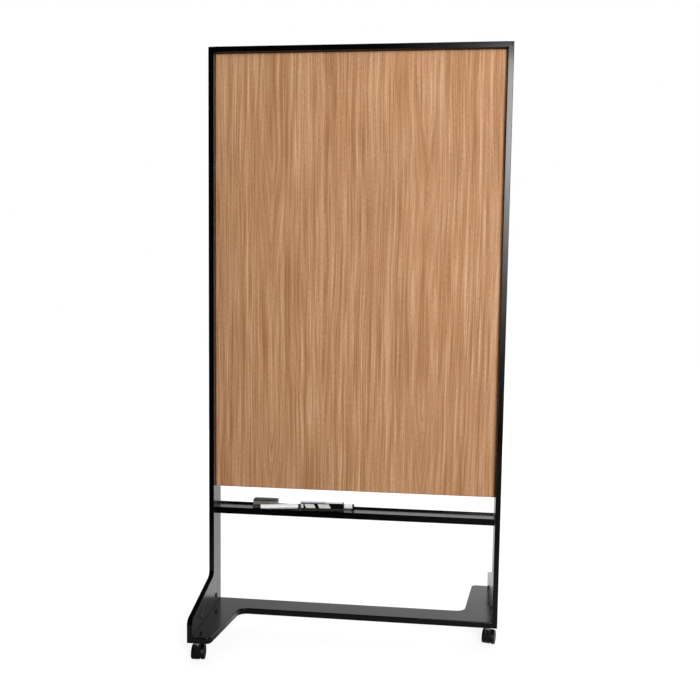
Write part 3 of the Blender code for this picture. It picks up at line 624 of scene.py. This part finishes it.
def railSection(r):
    deep, slot, low, top, lip, bend = r["halfDepth"], r["slot"], r["bottom"], r["top"], r["lip"], r["bend"]
    inner, under, over, inBend = deep - r["sheet"], low + r["sheet"], top - r["sheet"], bend - r["sheet"]
    return [(-deep, low, lip), (-slot, low, lip), (-slot, under, lip), (-inner, under, 0),
            (-inner, over, inBend), (inner, over, inBend), (inner, under, 0), (slot, under, lip),
            (slot, low, lip), (deep, low, lip), (deep, top, bend), (-deep, top, bend)]


def traySection(t):
    deep, low, rear, front, floor = t["halfDepth"], t["bottom"], t["rear"], t["front"], t["floor"]
    wall, under, lip, fold = deep - t["sheet"], floor - t["sheet"], t["lip"], t["fold"]
    return [(-deep, low, lip), (-wall, low, lip), (-wall, under, fold), (wall, under, fold),
            (wall, low, lip), (deep, low, lip), (deep, rear, lip), (wall, rear, lip),
            (wall, floor, fold), (-wall, floor, fold), (-wall, front, lip), (-deep, front, lip)]


def baseShape(b):
    # From the ceiling of the pan down its inner wall, over the edge, up the outer wall and round the bend to the top.
    end, deep, low, sheet, edge, cut = b["end"], b["halfDepth"], b["bottom"], b["sheet"], b["edge"], b["cut"]
    toe, ceiling = deep + b["reach"], b["top"] - sheet
    half = [(-end, -toe, 0), (-b["tip"], -toe, b["tipRadius"]), (-b["root"], -deep, b["rootRadius"]), (end, -deep, 0)]
    corners = half + [(-x, -y, radius) for x, y, radius in half]
    rings = [(ceiling, sheet + cut, 1), (ceiling - cut, sheet, 1), (low + edge, sheet, 1), (low, sheet - edge, 1),
             (low, edge, 1), (low + edge, 0, 1)]
    for angle in np.linspace(0, math.pi / 2, 8):
        height = b["top"] - b["bend"] * (1 - math.sin(angle))
        rings.append((height, b["bend"] * (1 - math.cos(angle)), b["endShare"]))
    shapes = []
    for height, inset, share in rings:
        # The bend is tighter at the two ends, where the plate meets the side frames.
        flat = outline(corners, inset, 13)
        atEnd = np.abs(flat[:, 0]) > end - inset - 1e-6
        flat[atEnd, 0] = np.sign(flat[atEnd, 0]) * (end - inset * share)
        shapes.append(spread(flat, height, "Z"))
    return skin(shapes)


def nutShape(radius, bore, low, high):
    # A hexagonal nut about Z, its corners cut back at the lower end.
    size = hexRadius(48, radius * math.sqrt(3))
    return revolve([(bore, low + 0.004), (bore, low), (np.minimum(size, radius * 0.9), low),
                    (np.minimum(size, radius), low + 0.0006), (size, low + 0.0012), (size, high)])


def drawnOut(section, end):
    flat = outline(section, 0.0, 5)
    return skin([spread(flat, -end, "X"), spread(flat, end, "X")])


addPiece("topRail", [drawnOut(railSection(topRail), topRail["end"])], blackPaint, "frame", ["top_rail"])
addPiece("penTray", [drawnOut(traySection(penTray), penTray["end"])], blackPaint, "frame", ["pen_tray"])
baseNut = nutShape(basePlate["nutRadius"], basePlate["nutBore"], basePlate["bottom"],
                   basePlate["top"] - basePlate["sheet"] / 2)
baseNuts = [placed(baseNut, 0, (*stem, 0)) for stem in basePlate["stems"]]
addPiece("basePlate", [baseShape(basePlate)] + baseNuts, blackPaint, "frame", ["base_plate"])
print("rail, tray and base made")


# Panel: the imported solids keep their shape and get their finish
for node, material in (("wood_board", woodGrain), ("bottom_edge_band", woodGrain), ("panel_core", fibreboard),
                       ("white_writing_sheet", whiteSteel)):
    paint(nodes[node], material)


# Casters, made round the stem's axis with the axle behind it
caster = {"axle": (0.018, 0.020), "outer": 0.0237, "half": 0.0189, "edge": 0.004, "low": 0.014, "webHalf": 0.0075,
          "webLow": 0.007, "pocket": 0.0212, "bossRadius": 0.0095, "bossLow": 0.0287, "bossTop": 0.0512,
          "collarFlats": 0.015, "collarLow": 0.0517, "collarTop": 0.0597, "collarChamfer": 0.0011,
          "pinRadius": 0.005, "pinLow": 0.0347, "stemRadius": 0.004, "stemTop": 0.0752,
          "wheelHalf": 0.00525, "wheelOut": 0.01395, "wheelRadius": 0.020, "wheelBore": 0.0031, "shoulder": 0.0024,
          "grooves": (-0.0022, 0.0002), "grooveDepth": 0.00025, "hubCap": 0.0118,
          # The hub's radii, and how far each lies behind the wheel's outer face.
          "hubSteps": ((0.0158, 0), (0.0154, 0.0004), (0.0142, 0.0004), (0.0138, 0), (0.0129, 0),
                       (0.0125, 0.0004), (0.0125, 0.0009), (0.0121, 0.0009), (0.0118, 0.0006))}
casterPlaces = (("front_left", (-0.423, -0.255), 5.0), ("front_right", (0.423, -0.025), -13.0),
                ("rear_left", (-0.423, 0.025), 167.0), ("rear_right", (0.423, 0.255), 185.0))


def domeRings(c, stations, low, radiusOf, arcPoints=40):
    # Across the width, an arc about the axle cut off level at a height; the radius shrinks at the rounded edges.
    rings = []
    for x in stations:
        radius = radiusOf(x)
        start = math.asin((low - c["axle"][1]) / radius)
        angles = np.linspace(start, math.pi - start, arcPoints)
        arc = np.stack([c["axle"][0] + radius * np.cos(angles), c["axle"][1] + radius * np.sin(angles)], 1)
        rings.append(spread(arc, x, "X"))
    return rings


def hoodMesh(c):
    def rounded(x):
        over = max(abs(x) - (c["half"] - c["edge"]), 0.0)
        return c["outer"] - (c["edge"] - math.sqrt(max(c["edge"] ** 2 - over ** 2, 0.0)))

    bendIn = c["half"] - c["edge"] + c["edge"] * np.sin(np.linspace(0, math.pi / 2, 8))
    stations = np.concatenate([-bendIn[::-1], bendIn])
    dome = skin(domeRings(c, stations, c["low"], rounded))
    web = skin(domeRings(c, [-c["webHalf"], -c["webHalf"] + 0.0006, c["webHalf"] - 0.0006, c["webHalf"]], c["webLow"],
                         lambda x: c["outer"] - (0.0009 if abs(x) >= c["webHalf"] else 0.0004)))
    low, top, radius = c["bossLow"], c["bossTop"], c["bossRadius"]
    boss = revolve([(radius - 0.003, low), (radius - 0.0008, low + 0.0008), (radius, low + 0.0024),
                    (radius, top - 0.0022), (radius - 0.0008, top - 0.0006), (radius - 0.0024, top)])
    steps = [("UNION", [web]), ("UNION", [boss])]
    for side in (-1, 1):
        pocket, web = c["pocket"], c["webHalf"]
        drum = [(pocket - 0.0006, web), (pocket, web + 0.0006), (pocket, c["half"] + 0.002)]
        points, faces = revolve(drum, 72, "X")
        steps.append(("DIFFERENCE", [(points * (side, 1, 1) + (0, *c["axle"]), faces)]))
    return carved("casterHood", dome, steps)


def wheelShape(c):
    # Profile from the bore over the inner face, a tread with two fine grooves, the rounded shoulder and the hub cap.
    half, radius, shoulder, cap = c["wheelHalf"], c["wheelRadius"], c["shoulder"], c["hubCap"]
    valley = radius - c["grooveDepth"]
    profile = [(c["wheelBore"], -half), (radius - 0.0009, -half), (radius - 0.0002, -half + 0.0003),
               (radius, -half + 0.0009)]
    for groove in c["grooves"]:
        profile += [(radius, groove - 0.0003), (valley, groove - 0.0001), (valley, groove + 0.0001),
                    (radius, groove + 0.0003)]
    profile += [(radius - shoulder * (1 - math.cos(angle)), half - shoulder * (1 - math.sin(angle)))
                for angle in np.linspace(0, math.pi / 2, 6)]
    profile += [(size, half - step) for size, step in c["hubSteps"]]
    profile += [(cap * math.cos(angle), half - 0.0006 + 0.0005 * math.sin(angle)) for angle in np.linspace(0.3, 1.45, 6)]
    return revolve(profile, 72, "X")


def collarShape(c):
    # Hexagonal collar with chamfered corners: the lesser of the hexagon's radius and a cone that closes at both ends.
    # A pin goes down from it into the hood, and a threaded stem up into the base.
    size = hexRadius(72, c["collarFlats"])
    low, top, cut = c["collarLow"], c["collarTop"], c["collarChamfer"]
    corner = c["collarFlats"] / math.sqrt(3)
    rings = [(c["pinRadius"], c["pinLow"]), (c["pinRadius"], low)]
    rings += [(np.minimum(size, corner - less), z)
              for less, z in ((cut, low), (0.0, low + cut), (0.0, top - cut), (cut, top))]
    stem, stemTop = c["stemRadius"], c["stemTop"]
    rings += [(stem, top), (stem, stemTop - 0.0007), (stem - 0.0008, stemTop)]
    return revolve(rings, 72)


hood, wheel, collar = hoodMesh(caster), wheelShape(caster), collarShape(caster)
for name, stem, degrees in casterPlaces:
    turn = math.radians(degrees)
    hoodCopy = hood.copy()
    hoodCopy.transform(Matrix.Translation((*stem, 0)) @ Matrix.Rotation(turn, 4, "Z"))
    addPiece(name + "_hood_fine", hoodCopy, nylon, name + "_caster", [name + "_hood"])
    addPiece(name + "_stem_fine", [placed(collar, 0, (*stem, 0))], zinc, "frame", [name + "_stem"])
    for side, letter in ((-1, "a"), (1, "b")):
        offset = np.array((side * caster["wheelOut"], *caster["axle"]))
        local = (wheel[0] * (side, 1, 1) + offset, wheel[1])
        node = name + "_wheel_" + letter
        addPiece(node + "_fine", [placed(local, turn, (*stem, 0))], wheelBlack, node, [node])
    paint(nodes[name + "_axle"], zinc)
print("casters made")


# Erasers and markers
shortEraser = {"node": "short_eraser", "place": (-0.3205, 0.0085), "turn": 0.0, "size": (0.078, 0.029),
               "corner": 0.004, "round": 0.0015, "lean": 0.0004, "feltInset": 0.0006, "feltCorner": 0.0015}
longEraser = {"node": "long_eraser", "place": (-0.1653, -0.0145), "turn": math.radians(4.5), "size": (0.137, 0.0245),
              "corner": 0.003, "round": 0.002, "lean": 0.0006, "feltInset": 0.0006, "feltCorner": 0.0012,
              # Start, end and slant of the labels along the front, and start and end of those along the top.
              "labels": ((0.003, 0.010, 0.0), (0.019, 0.049, -0.006), (0.060, 0.096, -0.006)),
              "topLabels": ((0.004, 0.078), (0.0785, 0.133)), "labelThick": 0.00015, "labelCorner": 0.001}
marker = {"radius": 0.0077, "length": 0.147, "height": 0.400, "cap": 0.024, "capEdge": 0.0016, "ribs": 18,
          "ribDepth": 0.00035, "plug": 0.006}
frontMarker = {"node": "front_marker", "place": (-0.3135877, -0.0230626), "turn": math.radians(12)}
backMarker = {"node": "back_marker", "place": (-0.1472, 0.0293), "turn": 0.0}


def blockRings(low, high, corner, levels):
    # Rounded rectangles at heights, each inset by its own amount.
    sides = [(low.x, low.y, corner), (high.x, low.y, corner), (high.x, high.y, corner), (low.x, high.y, corner)]
    return [spread(outline(sides, inset, 7), z, "Z") for z, inset in levels]


def laid(item, shape, height=0.0):
    return placed(shape, item["turn"], (*item["place"], height))


def eraserPieces(e, material, feltColour):
    # Built from its front left corner along X and Y, then laid at its place and turned.
    length, depth = e["size"]
    bottom, top = (corner.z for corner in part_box(e["node"] + "_shell"))
    levels = [(bottom, 0.0003), (bottom + 0.0003, 0)]
    for angle in np.linspace(0, math.pi / 2, 6):
        levels.append((top - e["round"] * (1 - math.sin(angle)), e["lean"] + e["round"] * (1 - math.cos(angle))))
    shell = skin(blockRings(Vector((0, 0)), Vector((length, depth)), e["corner"], levels))
    addPiece(e["node"] + "_shell_fine", [laid(e, shell)], material, e["node"], [e["node"] + "_shell"])
    low, high = (corner.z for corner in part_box(e["node"] + "_felt"))
    inset = e["feltInset"]
    pad = skin(blockRings(Vector((inset, inset)), Vector((length - inset, depth - inset)), e["feltCorner"],
                          roundEnds(low, high, 0.0008)))
    addPiece(e["node"] + "_felt_fine", [laid(e, pad)], feltColour, e["node"], [e["node"] + "_felt"])
    if "labels" not in e:
        return
    # Blank labels a hair proud of the shell, on its front and along its top.
    thick, corner, low, high = e["labelThick"], e["labelCorner"], bottom + 0.0007, top - e["round"] - 0.0003
    near, far = e["round"] + 0.001, depth - e["round"] - 0.001
    fronts, tops = [], []
    for start, end, slant in e["labels"]:
        flat = outline([(start, low, corner), (end, low, corner), (end + slant, high, corner),
                        (start + slant, high, corner)], 0, 5)
        lean = (flat[:, 1] - bottom) / (top - bottom) * e["lean"]
        fronts.append(laid(e, skin([np.stack([flat[:, 0], lean + gap, flat[:, 1]], 1) for gap in (-thick, 0.0003)])))
    for start, end in e["topLabels"]:
        flat = outline([(start, near, corner), (end, near, corner), (end, far, corner), (start, far, corner)], 0, 5)
        tops.append(laid(e, skin([spread(flat, top + gap, "Z") for gap in (-0.0003, thick)])))
    for label, shapes, paper in (("_labels", fronts, labelPale), ("_top_label_a", tops[:1], labelLilac),
                                 ("_top_label_b", tops[1:], labelWhite)):
        addPiece(e["node"] + label, shapes, paper, e["node"])


def markerPieces(m, own):
    # Turned along X from the cap's closed end, then laid at its place; the grip ribs are a cosine over the angle.
    node, radius, cap, length = own["node"], m["radius"], m["cap"], m["length"]
    sides = 144
    ribs = m["ribDepth"] * (0.5 - 0.5 * np.cos(anglesOf(sides) * m["ribs"]))
    profile = [(radius - m["capEdge"] * (1 - math.sin(a)) - 0.0001, m["capEdge"] * (1 - math.cos(a)), 0)
               for a in np.linspace(0, math.pi / 2, 6)]
    profile += [(radius, 0.003, 0), (radius, 0.004, 1), (radius, cap - 0.006, 1), (radius, cap - 0.005, 0),
                (radius, cap - 0.0003, 0), (radius - 0.0003, cap, 0), (radius - 0.0014, cap, 0),
                (radius - 0.0014, 0.003, 0)]
    ribbed = revolve([(size - ribs * share, x) for size, x, share in profile], sides, "X")
    addPiece(node + "_cap_fine", [laid(own, ribbed, m["height"])], capBlack, node + "_cap", [node + "_cap"])
    neck, plug = radius - 0.0017, length - m["plug"]
    barrel = [(0.0012, 0.0083), (0.0024, 0.0095), (0.0025, 0.0158), (0.005, 0.0163), (neck, 0.018), (neck, cap + 0.0003),
              (radius - 0.0002, cap + 0.0003), (radius, cap + 0.0006), (radius, plug)]
    tail = [(radius - 0.002, plug), (radius, plug), (radius, length - 0.001), (radius - 0.0003, length - 0.0003),
            (radius - 0.001, length)]
    shape = laid(own, revolve(barrel, 96, "X"), m["height"])
    addPiece(node + "_barrel_fine", [shape], barrelWhite, node, [node + "_barrel"])
    addPiece(node + "_plug", [laid(own, revolve(tail, 96, "X"), m["height"])], capBlack, node)


eraserPieces(shortEraser, eraserGrey, feltTan)
eraserPieces(longEraser, eraserBlack, feltBlack)
markerPieces(marker, frontMarker)
markerPieces(marker, backMarker)
print("tray contents made")


# Floor, light and camera
studio = {
    "floorColour": (0.3, 0.3, 0.3), "floorHalf": 9.0, "nearLift": 0.83, "farLift": 0.95, "liftReach": (1.2, 3.5),
    "mirrorLift": 0.9, "mirrorEdge": (-0.13, 0.13), "farMirror": (0.05, 0.35), "farSides": (-0.4, 0.6),
    "farReach": (-1.3, -0.5),
    # The room as matt surfaces see it, and as shiny ones see it before and behind the board.
    "ambient": (0.12, 0.7), "ambientEdge": (-0.3, 0.4), "front": 0.001, "back": 1.25,
    "bandRear": (-0.1, 0.35), "bandTop": (0.34, 0.56), "bandSides": (-0.35, 0.12, 0.6, 1.0),
}
# Place, size, power and target. The key lamp brightens to the right and upwards; the back lamp is for the white sheet.
lamps = {"key": ((0.755, -3.2, 1.49), (1.39, 2.18), 97, (0.755, 0, 1.49)),
         "side": ((1.2, -3.2, 0.9), (0.5, 1.2), 34, (1.2, 0, 0.9)), "back": ((0, 3.2, 1.2), (3.0, 2.4), 60, (0, 0, 1))}
keyRise = (0.06, 0.67), (0.5, 1.95)
cameraLook = {"place": (0.27397, -2.53256, 1.12366), "yaw": 6.547, "pitch": 5.062, "roll": 0.751, "focal": 834.8,
              "width": 700, "sensor": 36.0}


def addFloor(s):
    # Pale and matt. To the camera it is lifted to white, a little less near the board, where its shadow stays.
    # In reflections it is white from under the board backwards, plain just before it and dark further out,
    # most of all on the left.
    corners = np.array([(-1, -1, 0), (1, -1, 0), (1, 1, 0), (-1, 1, 0)], float) * s["floorHalf"]
    floor = addObject("floor", makeMesh("floor", [(corners, [[0, 1, 2, 3]])]))
    material = bpy.data.materials.new("floorPale")
    tree = clearedTree(material)
    place = addNode(tree, "TexCoord").outputs["Object"]
    distance = addNode(tree, "VectorMath", {0: place}, operation="LENGTH").outputs["Value"]
    seenLift = smoothRange(tree, distance, *s["liftReach"], s["nearLift"], s["farLift"])
    axes = axesOf(tree, place)
    mirrorLift = smoothRange(tree, axes["Y"], *s["mirrorEdge"], 0.0, s["mirrorLift"])
    path = addNode(tree, "LightPath").outputs
    shiny = maths(tree, "MAXIMUM", path["Is Glossy Ray"], path["Is Transmission Ray"])
    mirrored = maths(tree, "MULTIPLY", shiny, mirrorLift)
    strength = maths(tree, "MULTIPLY_ADD", path["Is Camera Ray"], seenLift, mirrored)
    farShare = smoothRange(tree, axes["X"], *s["farSides"], *s["farMirror"])
    share = blended(tree, smoothRange(tree, axes["Y"], *s["farReach"]), farShare, 1.0)
    share = blended(tree, path["Is Glossy Ray"], 1.0, share)
    matt = addNode(tree, "BsdfDiffuse", {"Color": scaled(tree, s["floorColour"], share)})
    lift = addNode(tree, "Emission", {"Color": (1, 1, 1, 1), "Strength": strength})
    both = addNode(tree, "AddShader", {0: matt.outputs[0], 1: lift.outputs[0]})
    addNode(tree, "OutputMaterial", {"Surface": both.outputs[0]})
    floor.data.materials.append(material)


def addWorld(s):
    # White to the camera, dim before and bright behind the board to matt surfaces. Shiny ones see a white band low
    # behind the board, darker to the left, and a dark room above it and before it.
    world = bpy.data.worlds.new("room")
    bpy.context.scene.world = world
    tree = clearedTree(world)
    axes = axesOf(tree, addNode(tree, "TexCoord").outputs["Generated"])
    rear = smoothRange(tree, axes["Y"], *s["bandRear"])
    low = smoothRange(tree, axes["Z"], *s["bandTop"], 1.0, 0.0)
    rightwards = smoothRange(tree, axes["X"], *s["bandSides"])
    band = maths(tree, "MULTIPLY", maths(tree, "MULTIPLY", rear, low), rightwards)
    mirrored = maths(tree, "MULTIPLY_ADD", band, s["back"] - s["front"], s["front"])
    path = addNode(tree, "LightPath").outputs
    shiny = maths(tree, "MAXIMUM", path["Is Glossy Ray"], path["Is Transmission Ray"])
    even = smoothRange(tree, axes["Y"], *s["ambientEdge"], *s["ambient"])
    level = blended(tree, shiny, even, mirrored)
    level = blended(tree, path["Is Camera Ray"], level, 1.0)
    room = addNode(tree, "Background", {"Color": (1, 1, 1, 1), "Strength": level})
    addNode(tree, "OutputWorld", {"Surface": room.outputs[0]})


def addLamp(name, place, size, power, target, rise=None):
    # With a rise its strength goes as the squares of the way along X, on past 1, and of the way up, from 0 to 1.
    lamp = bpy.data.lights.new(name, "AREA")
    if rise:
        lamp.use_nodes = True
        tree = lamp.node_tree
        axes = axesOf(tree, addNode(tree, "NewGeometry").outputs["Position"])
        way = maths(tree, "MULTIPLY", ranged(tree, axes["X"], *rise[0], clamp=False), ranged(tree, axes["Z"], *rise[1]))
        tree.links.new(maths(tree, "MULTIPLY", way, way), tree.nodes["Emission"].inputs["Strength"])
    lamp.shape, lamp.size, lamp.size_y, lamp.energy = "RECTANGLE", size[0], size[1], power
    holder = addObject(name, lamp)
    holder.location = place
    holder.rotation_euler = (Vector(target) - Vector(place)).to_track_quat("-Z", "Y").to_euler()
    return holder


def addCamera(c):
    # Looks along +Y turned by yaw to the left and pitch down, then rolled about its own line of sight.
    yaw, pitch, roll = (math.radians(c[key]) for key in ("yaw", "pitch", "roll"))
    forward = Vector((-math.sin(yaw) * math.cos(pitch), math.cos(yaw) * math.cos(pitch), -math.sin(pitch)))
    right = Vector((math.cos(yaw), math.sin(yaw), 0))
    up = right.cross(forward)
    rolledRight = right * math.cos(roll) + up * math.sin(roll)
    rolledUp = up * math.cos(roll) - right * math.sin(roll)
    data = bpy.data.cameras.new("camera")
    data.sensor_width, data.lens = c["sensor"], c["sensor"] * c["focal"] / c["width"]
    camera = addObject("camera", data)
    turned = Matrix((rolledRight, rolledUp, -forward)).transposed().to_4x4()
    camera.matrix_world = Matrix.Translation(c["place"]) @ turned
    bpy.context.scene.camera = camera


addFloor(studio)
addWorld(studio)
addLamp("keyLamp", *lamps["key"], keyRise)
addLamp("sideLamp", *lamps["side"])
addLamp("backLamp", *lamps["back"]).visible_glossy = False
addCamera(cameraLook)
bpy.context.scene.view_settings.view_transform = "Standard"
print("studio made")
